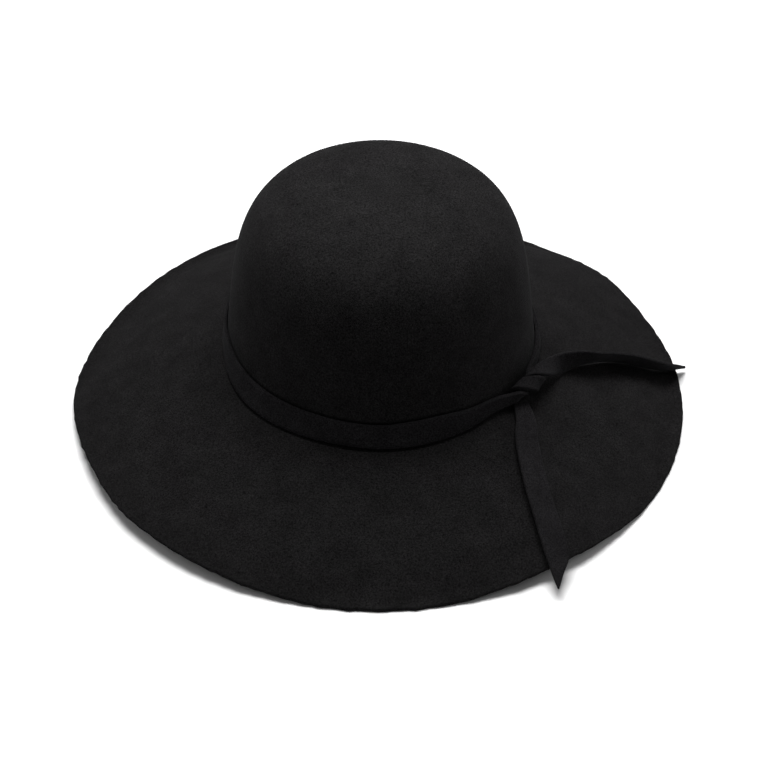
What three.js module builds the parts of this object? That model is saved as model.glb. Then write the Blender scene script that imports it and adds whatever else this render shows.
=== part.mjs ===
// A wide-brimmed hat of black felt: one pressed body, crown and brim together,
// and one narrow felt strip tied round the foot of the crown with two long ends.
// Millimetres, +Z up, -Y is the front of the hat, and the edge of the brim rests on z = 0.

import * as THREE from 'three';

// Felt body
const crownWidth = 178.5;
const crownLength = 186.2;
const crownRise = 100.6;
const crownTaper = 0.1313;
const crownTopPower = 6.35;
const crownShoulderPower = 3.4;
const crownLean = 2.5;
const crownShift = 1.5;
const felt = 2;
const brimWidth = 358;
const brimLength = 368;
const brimRise = 36.8;
const brimBulge = 0.12;
const joinRadius = 3;
const joinTilt = 1.0;
const restDepth = 4.4;
const restBlend = 1.2;

// Felt strip
const stripWidth = 14.5;
const stripThickness = 1.6;
const seatGap = 0.4;

// Round the crown, from the front side of the knot by the left and the back to its other side:
// direction and lean of the strip in degrees, width and thickness as shares of the strip's own
const bandPlaces = 30;
const bandShape = [
  { at: -46, lean: 8, width: 0.52, thick: 1.5 },
  { at: -55, lean: 12, width: 0.76, thick: 1.3 },
  { at: -65, lean: 16, width: 0.96, thick: 1.1 },
  { at: -77, lean: 21, width: 0.98, thick: 1 },
  { at: -89, lean: 24.5, width: 0.91, thick: 1 },
  { at: -101, lean: 22, width: 0.91, thick: 1 },
  { at: -113, lean: 22.5, width: 0.97, thick: 1 },
  { at: -132, lean: 23.5, width: 1, thick: 1 },
  { at: -144, lean: 21, width: 1, thick: 1 },
  { at: -156, lean: 14, width: 1, thick: 1 },
  { at: -168, lean: 8.5, width: 1, thick: 1 },
  { at: -180, lean: 7.5, width: 1, thick: 1 },
  { at: -320, lean: 7.5, width: 1, thick: 1 },
  { at: -355, lean: 7.5, width: 0.42, thick: 1.6 },
  { at: -378, lean: 7.5, width: 0.37, thick: 1.7 },
];

// Knot: two strands twisted round each other at the right of the front. Places of their middles
// along the knot, outward and up as shares of the strip's width, the turn of the face in degrees,
// width and thickness as shares of the strip's own
const knotTurn = 52;
const knotPlace = { across: 0.459, forward: 0.274, up: 0.45 };
const firstStrand = [
  { along: 0.8, out: 0.08, rise: 0.27, turn: 85, width: 0.55, thick: 1.4 },
  { along: 0.52, out: -0.12, rise: 0.2, turn: 120, width: 0.48, thick: 1.5 },
  { along: 0.2, out: -0.19, rise: -0.02, turn: 175, width: 0.45, thick: 1.5 },
  { along: -0.15, out: -0.03, rise: -0.2, turn: 250, width: 0.45, thick: 1.5 },
  { along: -0.4, out: 0.15, rise: -0.15, turn: 312, width: 0.46, thick: 1.5 },
  { along: -0.64, out: 0.14, rise: -0.08, turn: 348, width: 0.47, thick: 1.5 },
  { along: -0.95, out: -0.04, rise: -0.1, turn: 360, width: 0.46, thick: 1.6 },
];
const secondStrand = [
  { along: 0.86, out: -0.37, rise: -0.15, turn: -176, width: 0.38, thick: 1.7 },
  { along: 0.75, out: -0.16, rise: -0.3, turn: -115, width: 0.46, thick: 1.6 },
  { along: 0.64, out: 0.17, rise: -0.22, turn: -50, width: 0.54, thick: 1.7 },
  { along: 0.48, out: 0.35, rise: -0.02, turn: -5, width: 0.57, thick: 1.8 },
  { along: 0.17, out: 0.31, rise: 0.15, turn: 35, width: 0.58, thick: 1.8 },
  { along: -0.14, out: 0.12, rise: 0.22, turn: 80, width: 0.56, thick: 1.7 },
  { along: -0.36, out: -0.11, rise: 0.14, turn: 125, width: 0.52, thick: 1.6 },
  { along: -0.48, out: -0.24, rise: -0.08, turn: 178, width: 0.48, thick: 1.5 },
  { along: -0.53, out: -0.11, rise: -0.33, turn: 240, width: 0.5, thick: 1.4 },
  { along: -0.55, out: 0.16, rise: -0.45, turn: 272, width: 0.6, thick: 1.2 },
];
const stepsPerPlace = 3;

// Corners of the strip's section as shares of its width and thickness
const stripSection = [
  { across: -0.5, face: -0.5 },
  { across: 0, face: -0.5 },
  { across: 0.5, face: -0.5 },
  { across: 0.5, face: 0.5 },
  { across: 0, face: 0.5 },
  { across: -0.5, face: 0.5 },
];

// The two long ends from the knot to the tip: direction in degrees and share of the brim where
// one edge lies, roll about that edge in degrees, height above the brim as a share of the
// strip's thickness, and width as a share of the strip's width
const frontTail = [
  { at: -42.2, out: 0.1, roll: -4, above: 1.0, width: 0.84 },
  { at: -47.6, out: 0.19, roll: -10, above: 1.8, width: 0.98 },
  { at: -52.6, out: 0.359, roll: -14, above: 2.4, width: 1.05 },
  { at: -56.0, out: 0.547, roll: -15, above: 2.5, width: 1.05 },
  { at: -57.7, out: 0.698, roll: -14, above: 2.4, width: 1.05 },
  { at: -59.0, out: 0.83, roll: -12, above: 2.3, width: 1.04 },
  { at: -59.8, out: 0.934, roll: -10, above: 2.2, width: 0.98 },
  { at: -60.4, out: 1.038, roll: -7, above: 2.3, width: 0.5 },
  { at: -60.8, out: 1.141, roll: -3, above: 2.6, width: 0.05 },
];
const sideTail = [
  { at: -14.0, out: 0.151, roll: 52, above: 0.4, width: 0.85 },
  { at: -6.9, out: 0.236, roll: 97, above: 0.15, width: 0.95 },
  { at: -3.4, out: 0.321, roll: 114, above: 0.25, width: 1 },
  { at: -0.3, out: 0.425, roll: 119, above: 0.15, width: 1 },
  { at: 2.3, out: 0.576, roll: 122, above: 0, width: 1 },
  { at: 4.0, out: 0.783, roll: 126, above: 0, width: 1 },
  { at: 5.8, out: 0.934, roll: 131, above: 0, width: 0.8 },
  { at: 6.2, out: 1.061, roll: 140, above: 0, width: 0.06 },
];

// Rows of points on the two felt surfaces
const bodyDirections = 72;
const crownRows = 13;
const joinRows = 5;
const brimRows = 11;

// Waves of the brim's edge: direction in degrees, half spread in degrees,
// lift of the edge and reach of the edge as shares of the brim's rise
const brimWaves = [
  { at: 37.4, spread: 27.5, lift: 0.232, reach: 0 },
  { at: 156, spread: 25, lift: 0, reach: -0.061 },
  { at: 202, spread: 20, lift: 0, reach: -0.05 },
  { at: 207, spread: 50.1, lift: 0.279, reach: 0 },
  { at: 243.5, spread: 37.2, lift: 0.174, reach: 0 },
  { at: 303.9, spread: 35.1, lift: 0.268, reach: 0 },
];

function radians(degrees) {
  return (degrees * Math.PI) / 180;
}

function bell(direction, wave) {
  const away = Math.abs(((direction - wave.at + 540) % 360) - 180) / wave.spread;
  return away < 1 ? 0.5 * (1 + Math.cos(Math.PI * away)) : 0;
}

// Total of one column of the wave table at a direction
function waveSum(direction, column) {
  let sum = 0;
  for (const wave of brimWaves) {
    sum += wave[column] * brimRise * bell(direction, wave);
  }
  return sum;
}

// Height kept at zero or above, with a soft bend where the felt comes down on the table
function settle(height) {
  if (height > restBlend) {
    return height;
  }
  if (height < -restBlend) {
    return 0;
  }
  return (height + restBlend) ** 2 / (4 * restBlend);
}

// Steepest part of the join, where the brim takes over from it
const brimRun = (brimWidth - crownWidth) / 2 - joinRadius / 2;
const joinSweep = Math.PI / 2 - Math.atan(((1 - brimBulge) * brimRise) / brimRun);

// Height where the upright wall of the crown starts, above the join, at a direction
function wallFoot(angle) {
  return brimRise + felt + joinRadius * Math.sin(joinSweep) - joinTilt * Math.cos(angle);
}

// Outer surface of the crown wall and top; rise and ring are shares of its height and of its plan
function crownPoint(angle, rise, ring) {
  const scale = (1 - crownTaper * rise) * ring;
  return new THREE.Vector3(
    crownShift + (crownWidth / 2) * scale * Math.cos(angle),
    (crownLength / 2) * scale * Math.sin(angle) + crownLean * rise,
    wallFoot(angle) + (crownRise + joinTilt * Math.cos(angle)) * rise,
  );
}

// Outer surface of the curved join, turning from upright to the slope of the brim
function joinPoint(angle, turn) {
  const out = joinRadius * (1 - Math.cos(turn));
  return new THREE.Vector3(
    crownShift + (crownWidth / 2 + out) * Math.cos(angle),
    (crownLength / 2 + out) * Math.sin(angle),
    wallFoot(angle) - joinRadius * Math.sin(turn),
  );
}

// Upper surface of the brim; out runs from 0 at the join to 1 at the cut edge
function brimPoint(angle, out) {
  const direction = (((angle * 180) / Math.PI) % 360 + 360) % 360;
  const start = joinPoint(angle, joinSweep);
  const reach = waveSum(direction, 'reach');
  const x = (brimWidth / 2 + reach) * Math.cos(angle);
  const y = (brimLength / 2 + reach) * Math.sin(angle);
  const fall = (1 - brimBulge) * out + brimBulge * out * out;
  const wave = waveSum(direction, 'lift') * out * out - restDepth * out ** 4;
  const height = (start.z - felt) * (1 - fall) + wave;
  return new THREE.Vector3(
    start.x + (x - start.x) * out,
    start.y + (y - start.y) * out,
    felt + settle(height),
  );
}

// Direction square to the brim's upper surface
function brimNormal(angle, out) {
  const step = 0.002;
  const round = brimPoint(angle + step, out).sub(brimPoint(angle - step, out));
  const outward = brimPoint(angle, out + step).sub(brimPoint(angle, out - step));
  return outward.cross(round).normalize();
}

// The crown's side view as evenly spaced pairs of rise and ring, from the foot to the top
function crownProfile(rows) {
  const dense = [];
  for (let i = 0; i <= 600; i++) {
    const turn = (Math.PI / 2) * (i / 600) ** 3;
    dense.push({
      rise: Math.sin(turn) ** (2 / crownTopPower),
      ring: Math.cos(turn) ** (2 / crownShoulderPower),
      along: 0,
    });
  }
  dense[600].ring = 0;
  for (let i = 1; i <= 600; i++) {
    const up = (dense[i].rise - dense[i - 1].rise) * crownRise;
    const inward = ((dense[i].ring - dense[i - 1].ring) * crownWidth) / 2;
    dense[i].along = dense[i - 1].along + Math.hypot(up, inward);
  }
  const profile = [];
  let k = 0;
  for (let row = 0; row <= rows; row++) {
    const along = (dense[600].along * row) / rows;
    while (k < 599 && dense[k + 1].along < along) {
      k += 1;
    }
    const part = Math.min(1, (along - dense[k].along) / (dense[k + 1].along - dense[k].along));
    profile.push({
      rise: dense[k].rise + part * (dense[k + 1].rise - dense[k].rise),
      ring: dense[k].ring + part * (dense[k + 1].ring - dense[k].ring),
    });
  }
  return profile;
}

// Directions of the points in each ring
function bodyAngles() {
  const angles = [];
  for (let i = 0; i < bodyDirections; i++) {
    angles.push((2 * Math.PI * i) / bodyDirections);
  }
  return angles;
}

// Place of each ring of the brim, closer together toward the edge
function brimOut(row) {
  const share = row / brimRows;
  return share + 0.45 * share * (1 - share);
}

// Rings of points from the top of the crown to the edge of the brim
function bodyRings() {
  const profile = crownProfile(crownRows);
  const rings = [];
  const angles = bodyAngles();
  for (let row = crownRows - 1; row >= 0; row--) {
    rings.push(angles.map((angle) => crownPoint(angle, profile[row].rise, profile[row].ring)));
  }
  for (let row = 1; row <= joinRows; row++) {
    rings.push(angles.map((angle) => joinPoint(angle, (joinSweep * row) / joinRows)));
  }
  for (let row = 1; row <= brimRows; row++) {
    rings.push(angles.map((angle) => brimPoint(angle, brimOut(row))));
  }
  return rings;
}

// Outward direction at each point: on the brim from its shape, elsewhere from the neighbours
function ringNormals(rings) {
  const angles = bodyAngles();
  return rings.map((ring, r) =>
    ring.map((point, i) => {
      const row = r - crownRows - joinRows + 1;
      if (row > 0) {
        return brimNormal(angles[i], brimOut(row));
      }
      const count = ring.length;
      const round = ring[(i + 1) % count].clone().sub(ring[(i + count - 1) % count]);
      const after = rings[Math.min(r + 1, rings.length - 1)][i];
      const before = rings[Math.max(r - 1, 0)][i];
      const down = after.clone().sub(before);
      return down.cross(round).normalize();
    }),
  );
}

// Collects points and triangles of one closed mesh
class Surface {
  constructor() {
    this.points = [];
    this.faces = [];
  }

  add(point) {
    this.points.push(point.x, point.y, point.z);
    return this.points.length / 3 - 1;
  }

  quad(a, b, c, d) {
    this.faces.push(a, b, c, a, c, d);
  }

  triangle(a, b, c) {
    this.faces.push(a, b, c);
  }

  mesh(name, material) {
    const geometry = new THREE.BufferGeometry();
    geometry.setAttribute('position', new THREE.Float32BufferAttribute(this.points, 3));
    geometry.setIndex(this.faces);
    geometry.computeVertexNormals();
    const made = new THREE.Mesh(geometry, material);
    made.name = name;
    return made;
  }
}

// Crown and brim: one shell of felt, open below, with its cut edge at the brim
function crownAndBrim(material) {
  const surface = new Surface();
  const outer = bodyRings();
  const normals = ringNormals(outer);
  const inner = outer.map((ring, r) =>
    ring.map((point, i) => point.clone().addScaledVector(normals[r][i], -felt)),
  );
  const top = crownPoint(0, 1, 0);
  const outerTop = surface.add(top);
  const innerTop = surface.add(top.clone().setZ(top.z - felt));
  const outerIds = outer.map((ring) => ring.map((point) => surface.add(point)));
  const innerIds = inner.map((ring) => ring.map((point) => surface.add(point)));
  const count = bodyDirections;
  for (let i = 0; i < count; i++) {
    const next = (i + 1) % count;
    surface.triangle(outerTop, outerIds[0][i], outerIds[0][next]);
    surface.triangle(innerTop, innerIds[0][next], innerIds[0][i]);
    for (let r = 0; r + 1 < outer.length; r++) {
      surface.quad(outerIds[r][i], outerIds[r + 1][i], outerIds[r + 1][next], outerIds[r][next]);
      surface.quad(innerIds[r][i], innerIds[r][next], innerIds[r + 1][next], innerIds[r + 1][i]);
    }
    const rim = outer.length - 1;
    surface.quad(outerIds[rim][i], innerIds[rim][i], innerIds[rim][next], outerIds[rim][next]);
  }
  return surface.mesh('crown_and_brim', material);
}

// One place along the strip: its middle, the direction across it, its width and its thickness
function stripKey(middle, across, width, thick) {
  return { middle, across: across.clone().normalize(), width, thick };
}

// Places along a long end, from the knot to its cut tip. One edge follows the brim; the strip
// rolls about that edge. side is 1 when the strip is drawn on from that edge, -1 when it is met
function tailKeys(rows, side) {
  const feet = rows.map((row) => brimPoint(radians(row.at), row.out));
  return rows.map((row, i) => {
    const normal = brimNormal(radians(row.at), Math.min(row.out, 0.97));
    const before = feet[Math.max(i - 1, 0)];
    const after = feet[Math.min(i + 1, rows.length - 1)];
    const along = after.clone().sub(before).normalize();
    const level = normal.clone().cross(along).normalize();
    const roll = radians(row.roll);
    const across = level.clone().multiplyScalar(Math.cos(roll));
    across.addScaledVector(normal, Math.sin(roll));
    const face = level.clone().multiplyScalar(-Math.sin(roll));
    face.addScaledVector(normal, Math.cos(roll));
    const width = stripWidth * row.width;
    const clear = seatGap + stripThickness * (row.above + Math.max(0, -Math.cos(roll)));
    const middle = feet[i].clone().addScaledVector(normal, clear);
    middle.addScaledVector(across, width / 2).addScaledVector(face, stripThickness / 2);
    return stripKey(middle, across.multiplyScalar(side), width, stripThickness);
  });
}

// The knot's own frame: along its length, outward from the crown, and up
const knotMiddle = new THREE.Vector3(
  crownWidth * knotPlace.across,
  -crownLength * knotPlace.forward,
  brimRise + felt + stripWidth * knotPlace.up,
);
const knotAlong = new THREE.Vector3(
  Math.cos(radians(knotTurn)),
  Math.sin(radians(knotTurn)),
  0,
);
const knotOut = new THREE.Vector3(knotAlong.y, -knotAlong.x, 0);
const up = new THREE.Vector3(0, 0, 1);

function knotPoint(along, out, rise) {
  return knotMiddle
    .clone()
    .addScaledVector(knotAlong, along)
    .addScaledVector(knotOut, out)
    .addScaledVector(up, rise);
}

// Places along one of the two strands that twist round each other in the knot; face is 1 or -1
function strandKeys(rows, face) {
  const middles = rows.map((row) =>
    knotPoint(row.along * stripWidth, row.out * stripWidth, row.rise * stripWidth),
  );
  return rows.map((row, i) => {
    const turn = radians(row.turn);
    const travel = middles[Math.min(i + 1, rows.length - 1)].clone();
    travel.sub(middles[Math.max(i - 1, 0)]);
    const inward = knotOut.clone().multiplyScalar(-Math.cos(turn));
    inward.addScaledVector(up, -Math.sin(turn));
    const across = travel.cross(inward).normalize().multiplyScalar(face);
    return stripKey(middles[i], across, row.width * stripWidth, row.thick * stripThickness);
  });
}

// One column of the band's table at a direction, eased from row to row
function bandValue(direction, column) {
  let i = 0;
  while (i < bandShape.length - 2 && bandShape[i + 1].at > direction) {
    i += 1;
  }
  const from = bandShape[i];
  const to = bandShape[i + 1];
  const share = Math.min(1, Math.max(0, (direction - from.at) / (to.at - from.at)));
  const eased = share * share * (3 - 2 * share);
  return from[column] + (to[column] - from[column]) * eased;
}

// Height of the felt at a distance out from the foot of the crown's wall
function footHeight(angle, out) {
  const end = joinRadius * (1 - Math.cos(joinSweep));
  if (out < end) {
    const turn = Math.acos(1 - Math.max(out, 0) / joinRadius);
    return joinPoint(angle, turn).z;
  }
  const start = brimPoint(angle, 0);
  const edge = brimPoint(angle, 1);
  const run = Math.hypot(edge.x - start.x, edge.y - start.y);
  return brimPoint(angle, (out - end) / run).z;
}

// Direction square to the crown's wall, level
function wallOutward(angle) {
  const x = Math.cos(angle) * crownLength;
  return new THREE.Vector3(x, Math.sin(angle) * crownWidth, 0).normalize();
}

// Distance of the strip's upper edge out from the foot of the wall, which leans inward
function seatOut(angle, rise) {
  const wall = crownPoint(angle, rise / crownRise, 1).sub(joinPoint(angle, 0));
  return seatGap + wall.dot(wallOutward(angle));
}

// How far the strip's upper edge lies above the foot of the wall, where its lower edge
// rests on the brim and its upper edge leans on the crown
function seatRise(angle, width, lean) {
  let low = 0;
  let high = 2 * stripWidth;
  for (let i = 0; i < 24; i++) {
    const rise = (low + high) / 2;
    const out = seatOut(angle, rise) + width * Math.sin(lean);
    const bottom = wallFoot(angle) + rise - width * Math.cos(lean);
    if (bottom > footHeight(angle, out - seatGap) + seatGap) {
      high = rise;
    } else {
      low = rise;
    }
  }
  return high;
}

// Places round the crown, from the front side of the knot by the left and the back to its other side
function bandKeys() {
  const keys = [];
  const first = bandShape[0].at;
  const last = bandShape[bandShape.length - 1].at;
  for (let i = 0; i <= bandPlaces; i++) {
    const direction = first + ((last - first) * i) / bandPlaces;
    const angle = radians(direction);
    const lean = radians(bandValue(direction, 'lean'));
    const width = stripWidth * bandValue(direction, 'width');
    const thick = stripThickness * bandValue(direction, 'thick');
    const flat = wallOutward(angle);
    const across = flat.clone().multiplyScalar(Math.sin(lean));
    across.addScaledVector(up, -Math.cos(lean));
    const face = flat.clone().multiplyScalar(Math.cos(lean));
    face.addScaledVector(up, Math.sin(lean));
    const rise = seatRise(angle, width, lean);
    const middle = joinPoint(angle, 0).addScaledVector(up, rise);
    middle.addScaledVector(flat, seatOut(angle, rise));
    middle.addScaledVector(across, width / 2).addScaledVector(face, thick / 2);
    keys.push(stripKey(middle, across, width, thick));
  }
  return keys;
}

// The whole strip from the tip of one long end, through the knot and round the crown to the other
function tieKeys() {
  const side = tailKeys(sideTail, -1).reverse();
  const front = tailKeys(frontTail, 1);
  const firstKeys = strandKeys(firstStrand, 1);
  const secondKeys = strandKeys(secondStrand, -1);
  return [...side, ...firstKeys, ...bandKeys(), ...secondKeys, ...front];
}

// The strip swept through its places as one closed body with square cut edges
function tieBand(material) {
  const keys = tieKeys();
  const middles = new THREE.CatmullRomCurve3(keys.map((key) => key.middle), false, 'centripetal');
  const acrosses = new THREE.CatmullRomCurve3(keys.map((key) => key.across));
  const sizes = new THREE.CatmullRomCurve3(
    keys.map((key) => new THREE.Vector3(key.width, key.thick, 0)),
  );
  const last = (keys.length - 1) * stepsPerPlace;
  const surface = new Surface();
  const rings = [];
  for (let i = 0; i <= last; i++) {
    const t = i / last;
    const middle = middles.getPoint(t);
    const travel = middles.getPoint(Math.min(1, t + 0.0005));
    travel.sub(middles.getPoint(Math.max(0, t - 0.0005))).normalize();
    const across = acrosses.getPoint(t);
    across.addScaledVector(travel, -across.dot(travel)).normalize();
    const face = across.clone().cross(travel);
    const size = sizes.getPoint(t);
    rings.push(
      stripSection.map((corner) => {
        const point = middle.clone().addScaledVector(across, corner.across * size.x);
        return surface.add(point.addScaledVector(face, corner.face * size.y));
      }),
    );
  }
  const sides = stripSection.length;
  for (let i = 0; i < last; i++) {
    for (let k = 0; k < sides; k++) {
      const next = (k + 1) % sides;
      surface.quad(rings[i][k], rings[i + 1][k], rings[i + 1][next], rings[i][next]);
    }
  }
  for (let k = 1; k + 1 < sides; k++) {
    surface.triangle(rings[0][0], rings[0][k], rings[0][k + 1]);
    surface.triangle(rings[last][0], rings[last][k + 1], rings[last][k]);
  }
  return surface.mesh('tie_band', material);
}

const hat = new THREE.Group();
hat.name = 'wide_brim_felt_hat';

hat.add(
  crownAndBrim(new THREE.MeshStandardMaterial({ color: 0x1b1b1c, roughness: 0.95, metalness: 0 })),
  tieBand(new THREE.MeshStandardMaterial({ color: 0x161617, roughness: 0.9, metalness: 0 })),
);

// The origin is under the middle of the hat, on the surface it rests on
const reach = new THREE.Box3().setFromObject(hat);
const middle = reach.getCenter(new THREE.Vector3());
hat.position.set(-middle.x, -middle.y, -reach.min.z);

export default hat;
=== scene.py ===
"""Wide brim hat of black wool felt, with a long strip of the same felt tied round its crown."""
from math import cos, pi, radians, sin

import bpy
import numpy as np
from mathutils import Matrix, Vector, noise


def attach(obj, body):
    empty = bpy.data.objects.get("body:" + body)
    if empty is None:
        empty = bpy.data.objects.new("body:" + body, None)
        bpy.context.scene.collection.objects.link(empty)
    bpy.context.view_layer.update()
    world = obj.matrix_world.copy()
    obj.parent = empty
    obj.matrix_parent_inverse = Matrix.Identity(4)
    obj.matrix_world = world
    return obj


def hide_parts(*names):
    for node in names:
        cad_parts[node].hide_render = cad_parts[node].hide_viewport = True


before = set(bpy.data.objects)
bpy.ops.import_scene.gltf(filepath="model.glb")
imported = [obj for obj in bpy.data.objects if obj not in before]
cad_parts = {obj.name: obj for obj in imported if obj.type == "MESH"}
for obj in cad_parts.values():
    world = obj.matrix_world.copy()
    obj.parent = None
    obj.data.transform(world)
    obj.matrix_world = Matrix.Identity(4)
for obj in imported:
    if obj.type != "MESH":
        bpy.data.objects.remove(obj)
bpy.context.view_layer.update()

MM = 0.001

# Where the picture is taken from: straight in front of the hat, looking down on it.
HAT_MIDDLE = Vector((-2.4135 * MM, 0.0, 0.0))
LOOKING_DOWN = radians(38.5)
CAMERA_DISTANCE = 1.2
LENS = 95.156
SENSOR_WIDTH = 36
FRAME_SHIFT = (0.0078125, 0.0104167)

# Rounding of the felt: triangles closer to flat than this are joined to four-sided faces, and
# edges sharper than this are kept crisp as knife cuts.
MERGE_DISTANCE = 0.005 * MM
JOIN_ANGLE = radians(50)
BODY_CUT_ANGLE = radians(55)
STRIP_CUT_ANGLE = radians(50)
CUT_EDGE_CREASE = 0.72
ROUNDING_LEVELS = 2

# The felt body: how far its surface wanders, and how far apart the dents are. The dents fade out
# where the brim rests on the table and change over at the foot of the crown.
BRIM_DENT = 0.55 * MM
BRIM_DENT_SPACING = 34 * MM
SMALL_DENT_SHARE = 0.45
SMALL_DENT_SPACING = BRIM_DENT_SPACING / 2.6
CROWN_DENT = 0.35 * MM
CROWN_DENT_SPACING = 48 * MM
CROWN_FOOT_HEIGHT = 0.05
CROWN_FOOT_BLEND = 20 * MM
RESTING_HEIGHTS = (2.5 * MM, 7 * MM)

# The cut edge of the brim wanders in and out, from this distance outward.
EDGE_WANDER = 0.8 * MM
EDGE_WANDER_SPACING = 5 * MM
EDGE_REACH = (0.155, 0.172)

# The felt strip, cut 14.5 mm wide, with small dents above the brim.
STRIP_DENT = 0.3 * MM
STRIP_DENT_SPACING = 9 * MM
STRIP_DENT_HEIGHTS = (0.052, 0.06)

# Where in the wandering pattern each kind of dent is taken from.
BRIM_DENT_SEED = 3.0
SMALL_DENT_SEED = 9.0
CROWN_DENT_SEED = 21.0
EDGE_WANDER_SEED = 33.0
STRIP_DENT_SEED = 5.0

# Black felt: its colours, how fine and deep its nap is, and its soft sheen.
BODY_FELT = (0.0085, 0.0082, 0.0084)
BODY_NAP_SIZE = 0.9 * MM
BODY_NAP_DEPTH = 0.3 * MM
STRIP_FELT = (0.0090, 0.0086, 0.0092)
STRIP_NAP_SIZE = 0.8 * MM
STRIP_NAP_DEPTH = 0.25 * MM
SHEEN = 0.012
SHEEN_ROUGHNESS = 0.45
SHEEN_TINT = (0.95, 0.97, 1.0, 1)
FELT_ROUGHNESS = 0.95
FELT_SPECULAR = 0.01

# Darkest and lightest share of the felt's colour in its soft mottling and in its fine nap, and
# how much each pattern lifts the surface.
MOTTLE_SPACING = 15 * MM
MOTTLE_SHADES = (0.82, 1.22)
MOTTLE_ROUGHNESS = 0.62
MOTTLE_DETAIL = 5
MOTTLE_LIFT = (0.3, 0.5 * MM)
NAP_SHADES = (0.2, 2.0)
NAP_ROUGHNESS = 0.7
NAP_DETAIL = 4
NAP_STRENGTH = 0.6
PATTERN_RANGE = (0.3, 0.7)

# Painted highlight and painted shade: the felt's colour is painted lighter on top of the crown,
# where the overhead light falls, and a little darker below it. Given here: the heights where this
# begins and is full, and the share of the felt's colour below and above them.
CROWN_HIGHLIGHT_HEIGHTS = (0.1, 0.136)
CROWN_HIGHLIGHT_SHARES = (0.95, 1.25)

# The white table and the light tent round it: for each box of light its place, width, depth and
# power.
TABLE_SIZE = 14
TABLE_WHITE = (0.9, 0.9, 0.9, 1)
TABLE_ROUGHNESS = 0.9
TABLE_SPECULAR = 0.1
TENT_STRENGTH = 0.16
LIGHT_AIM = Vector((0, 0, 0.05))
LIGHT_BOXES = (
    ("overhead_box", (0.0, 0.4, 1.35), 1.1, 0.7, 29.0),
    ("left_box", (-1.5, 0.35, 0.6), 0.8, 0.8, 3.2),
    ("right_box", (1.5, 0.35, 0.6), 0.8, 0.8, 4.5),
)


def select_only(piece):
    """Selects one piece and makes it the active one."""
    bpy.ops.object.select_all(action="DESELECT")
    piece.select_set(True)
    bpy.context.view_layer.objects.active = piece


def felt_copy(part, name):
    """A copy of one part of the hat, its loose triangles merged and joined to four-sided faces."""
    felt = part.data.copy()
    felt.materials.clear()
    piece = bpy.data.objects.new(name, felt)
    bpy.context.scene.collection.objects.link(piece)
    select_only(piece)
    bpy.ops.object.mode_set(mode="EDIT")
    bpy.ops.mesh.select_all(action="SELECT")
    bpy.ops.mesh.remove_doubles(threshold=MERGE_DISTANCE)
    bpy.ops.mesh.tris_convert_to_quads(face_threshold=JOIN_ANGLE, shape_threshold=JOIN_ANGLE)
    bpy.ops.object.mode_set(mode="OBJECT")
    return piece


def crease_cut_edges(piece, sharpness):
    """Keeps the knife-cut edges of the felt crisp when the piece is rounded."""
    select_only(piece)
    bpy.ops.object.mode_set(mode="EDIT")
    bpy.ops.mesh.select_mode(type="EDGE")
    bpy.ops.mesh.select_all(action="DESELECT")
    bpy.ops.mesh.edges_select_sharp(sharpness=sharpness)
    bpy.ops.transform.edge_crease(value=CUT_EDGE_CREASE)
    bpy.ops.object.mode_set(mode="OBJECT")


def round_off(piece):
    """Rounds the faceted felt to a smooth surface."""
    select_only(piece)
    rounding = piece.modifiers.new("rounding", "SUBSURF")
    rounding.levels = ROUNDING_LEVELS
    rounding.render_levels = ROUNDING_LEVELS
    bpy.ops.object.modifier_apply(modifier=rounding.name)


def points_of(piece):
    """The places of a piece's points, one row for each."""
    places = np.empty(len(piece.data.vertices) * 3)
    piece.data.vertices.foreach_get("co", places)
    return places.reshape(-1, 3)


def set_points(piece, places):
    """Puts a piece's points in new places."""
    piece.data.vertices.foreach_set("co", places.ravel())
    piece.data.update()


def wander(places, spacing, seed):
    """A smooth wandering value between about -1 and 1 at each place."""
    start = Vector((seed, 0.0, 0.0))
    return np.array([noise.noise(Vector(place) / spacing + start) for place in places])


def soft_step(value, low, high):
    """Goes smoothly from 0 at low to 1 at high."""
    share = np.clip((value - low) / (high - low), 0.0, 1.0)
    return share * share * (3.0 - 2.0 * share)


def shade_felt_smooth(piece):
    """Shades a felt piece smooth all over."""
    select_only(piece)
    bpy.ops.object.shade_smooth()


def felt_body():
    """The pressed felt crown and brim, with slight dents and a wandering cut edge."""
    body = felt_copy(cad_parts["crown_and_brim"], "felt_body")
    crease_cut_edges(body, BODY_CUT_ANGLE)
    round_off(body)
    places = points_of(body)
    across, along, height = places.T
    reach = np.hypot(across, along)
    held = reach.clip(1e-6)
    outward = np.stack([across / held, along / held, np.zeros_like(reach)], axis=1)
    on_crown = soft_step(height, CROWN_FOOT_HEIGHT, CROWN_FOOT_HEIGHT + CROWN_FOOT_BLEND)
    resting = 1.0 - soft_step(height, *RESTING_HEIGHTS)
    flat_places = places * (1.0, 1.0, 0.0)
    large = wander(flat_places, BRIM_DENT_SPACING, BRIM_DENT_SEED)
    small = wander(flat_places, SMALL_DENT_SPACING, SMALL_DENT_SEED)
    crown_dent = wander(places, CROWN_DENT_SPACING, CROWN_DENT_SEED)
    lift = BRIM_DENT * (large + SMALL_DENT_SHARE * small) * (1.0 - on_crown) * (1.0 - resting)
    places[:, 2] += lift
    places += outward * (CROWN_DENT * crown_dent * on_crown)[:, None]
    rim = soft_step(reach, *EDGE_REACH) * (1.0 - on_crown)
    edge = wander(flat_places, EDGE_WANDER_SPACING, EDGE_WANDER_SEED)
    places += outward * (EDGE_WANDER * edge * rim)[:, None]
    set_points(body, places)
    shade_felt_smooth(body)
    return body


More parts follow.
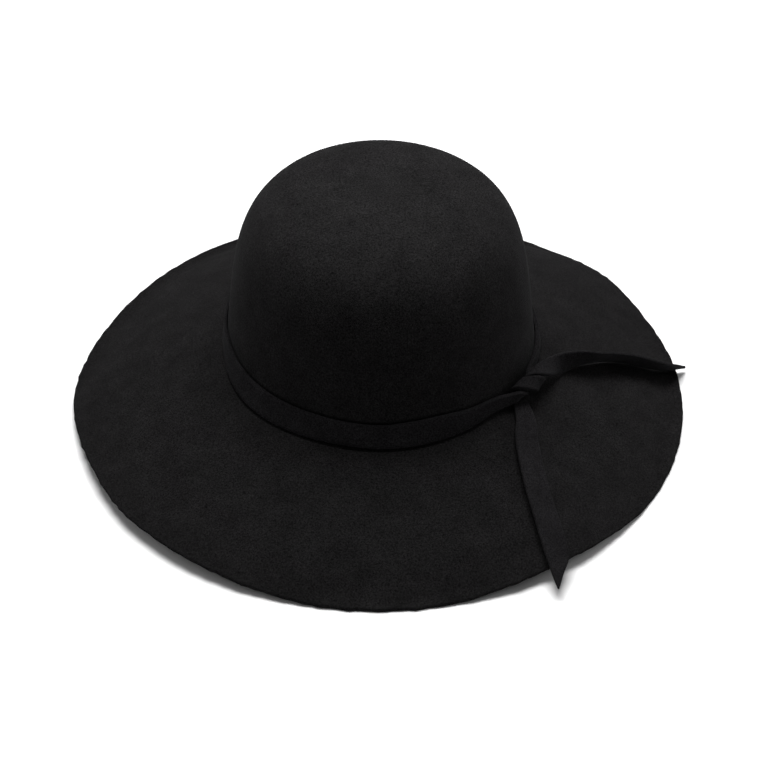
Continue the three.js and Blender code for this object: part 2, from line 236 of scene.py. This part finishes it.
def felt_strip():
    """The tied strip of felt: its ring round the crown, its knot and its two loose ends."""
    strip = felt_copy(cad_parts["tie_band"], "felt_strip")
    crease_cut_edges(strip, STRIP_CUT_ANGLE)
    round_off(strip)
    places = points_of(strip)
    dent = STRIP_DENT * wander(places, STRIP_DENT_SPACING, STRIP_DENT_SEED)
    places[:, 2] += dent * soft_step(places[:, 2], *STRIP_DENT_HEIGHTS)
    set_points(strip, places)
    shade_felt_smooth(strip)
    return strip


def felt_pattern(felt, place, scale, detail, roughness):
    """A random pattern over the felt, fixed to the hat."""
    pattern = felt.node_tree.nodes.new("ShaderNodeTexNoise")
    pattern.inputs["Scale"].default_value = scale
    pattern.inputs["Detail"].default_value = detail
    pattern.inputs["Roughness"].default_value = roughness
    felt.node_tree.links.new(place.outputs["Object"], pattern.inputs["Vector"])
    return pattern.outputs["Fac"]


def felt_shades(felt, pattern, shades, colour):
    """Turns a pattern between 0 and 1 into felt from a darker to a lighter shade of one colour."""
    ramp = felt.node_tree.nodes.new("ShaderNodeValToRGB")
    low, high = ramp.color_ramp.elements
    low.position, high.position = PATTERN_RANGE
    low.color = (*[shades[0] * share for share in colour], 1)
    high.color = (*[shades[1] * share for share in colour], 1)
    felt.node_tree.links.new(pattern, ramp.inputs["Fac"])
    return ramp.outputs["Color"]


def paint_crown_highlight(felt, place, surface):
    """The felt's colour with a painted highlight towards the top of the crown, and painted shade
    that makes it a little darker below.
    """
    nodes, links = felt.node_tree.nodes, felt.node_tree.links
    height = nodes.new("ShaderNodeSeparateXYZ")
    links.new(place.outputs["Object"], height.inputs["Vector"])
    light = nodes.new("ShaderNodeMapRange")
    light.interpolation_type = "SMOOTHSTEP"
    light.inputs["From Min"].default_value = CROWN_HIGHLIGHT_HEIGHTS[0]
    light.inputs["From Max"].default_value = CROWN_HIGHLIGHT_HEIGHTS[1]
    light.inputs["To Min"].default_value = CROWN_HIGHLIGHT_SHARES[0]
    light.inputs["To Max"].default_value = CROWN_HIGHLIGHT_SHARES[1]
    links.new(height.outputs["Z"], light.inputs["Value"])
    lit = nodes.new("ShaderNodeVectorMath")
    lit.operation = "SCALE"
    links.new(surface, lit.inputs[0])
    links.new(light.outputs["Result"], lit.inputs["Scale"])
    return lit.outputs["Vector"]


def felt_material(name, colour, nap_size, nap_depth, with_painted_crown_highlight=False):
    """Black wool felt: matt, with a short nap, faint mottling and a soft edge-on sheen."""
    felt = bpy.data.materials.new(name)
    felt.use_nodes = True
    nodes, links = felt.node_tree.nodes, felt.node_tree.links
    shader = nodes["Principled BSDF"]
    place = nodes.new("ShaderNodeTexCoord")
    mottle = felt_pattern(felt, place, 1 / MOTTLE_SPACING, MOTTLE_DETAIL, MOTTLE_ROUGHNESS)
    fibres = felt_pattern(felt, place, 1 / nap_size, NAP_DETAIL, NAP_ROUGHNESS)

    both = nodes.new("ShaderNodeMix")
    both.data_type = "RGBA"
    both.blend_type = "MULTIPLY"
    both.inputs["Factor"].default_value = 1
    links.new(felt_shades(felt, mottle, MOTTLE_SHADES, colour), both.inputs[6])
    links.new(felt_shades(felt, fibres, NAP_SHADES, (1, 1, 1)), both.inputs[7])
    surface = both.outputs[2]
    # Painted highlight on the crown top and painted shade below it, laid into the felt's colour by
    # height.
    if with_painted_crown_highlight:
        surface = paint_crown_highlight(felt, place, surface)
    links.new(surface, shader.inputs["Base Color"])

    nap = nodes.new("ShaderNodeBump")
    nap.inputs["Strength"].default_value = NAP_STRENGTH
    nap.inputs["Distance"].default_value = nap_depth
    links.new(fibres, nap.inputs["Height"])
    dents = nodes.new("ShaderNodeBump")
    dents.inputs["Strength"].default_value = MOTTLE_LIFT[0]
    dents.inputs["Distance"].default_value = MOTTLE_LIFT[1]
    links.new(mottle, dents.inputs["Height"])
    links.new(nap.outputs["Normal"], dents.inputs["Normal"])
    links.new(dents.outputs["Normal"], shader.inputs["Normal"])

    shader.inputs["Roughness"].default_value = FELT_ROUGHNESS
    shader.inputs["Specular IOR Level"].default_value = FELT_SPECULAR
    shader.inputs["Sheen Weight"].default_value = SHEEN
    shader.inputs["Sheen Roughness"].default_value = SHEEN_ROUGHNESS
    shader.inputs["Sheen Tint"].default_value = SHEEN_TINT
    return felt


def paint(piece, felt):
    """Gives a piece its felt."""
    piece.data.materials.clear()
    piece.data.materials.append(felt)


def studio():
    """A white table in a white light tent: one wide box overhead and a softer one on each side."""
    bpy.ops.object.select_all(action="DESELECT")
    bpy.ops.mesh.primitive_plane_add(size=TABLE_SIZE, location=(0, 0, 0))
    table = bpy.context.object
    table.name = "white_table"
    white = bpy.data.materials.new("white_table_top")
    white.use_nodes = True
    top = white.node_tree.nodes["Principled BSDF"]
    top.inputs["Base Color"].default_value = TABLE_WHITE
    top.inputs["Roughness"].default_value = TABLE_ROUGHNESS
    top.inputs["Specular IOR Level"].default_value = TABLE_SPECULAR
    table.data.materials.append(white)

    room = bpy.data.worlds.new("light_tent")
    bpy.context.scene.world = room
    room.use_nodes = True
    tent = room.node_tree.nodes["Background"]
    tent.inputs["Color"].default_value = (1, 1, 1, 1)
    tent.inputs["Strength"].default_value = TENT_STRENGTH

    for name, place, width, depth, power in LIGHT_BOXES:
        box = bpy.data.lights.new(name, "AREA")
        box.shape = "RECTANGLE"
        box.size = width
        box.size_y = depth
        box.energy = power
        lamp = bpy.data.objects.new(name, box)
        bpy.context.scene.collection.objects.link(lamp)
        lamp.location = place
        lamp.rotation_euler = (LIGHT_AIM - Vector(place)).to_track_quat("-Z", "Y").to_euler()


def camera():
    """A camera in front of the hat, turned down to its middle."""
    view = bpy.data.cameras.new("picture_camera")
    view.lens = LENS
    view.sensor_width = SENSOR_WIDTH
    view.shift_x, view.shift_y = FRAME_SHIFT
    stand = bpy.data.objects.new("picture_camera", view)
    bpy.context.scene.collection.objects.link(stand)
    toward_camera = Vector((0, -cos(LOOKING_DOWN), sin(LOOKING_DOWN)))
    stand.location = HAT_MIDDLE + CAMERA_DISTANCE * toward_camera
    stand.rotation_euler = (pi / 2 - LOOKING_DOWN, 0, 0)
    bpy.context.scene.camera = stand


camera()
studio()
bpy.context.scene.view_settings.view_transform = "Standard"

body = felt_body()
# The body's felt carries the painted highlight on the crown top and the painted shade below it.
paint(body, felt_material("black_felt_body", BODY_FELT, BODY_NAP_SIZE, BODY_NAP_DEPTH, True))
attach(body, "root")
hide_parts("crown_and_brim")

strip = felt_strip()
paint(strip, felt_material("black_felt_strip", STRIP_FELT, STRIP_NAP_SIZE, STRIP_NAP_DEPTH))
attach(strip, "root")
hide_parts("tie_band")
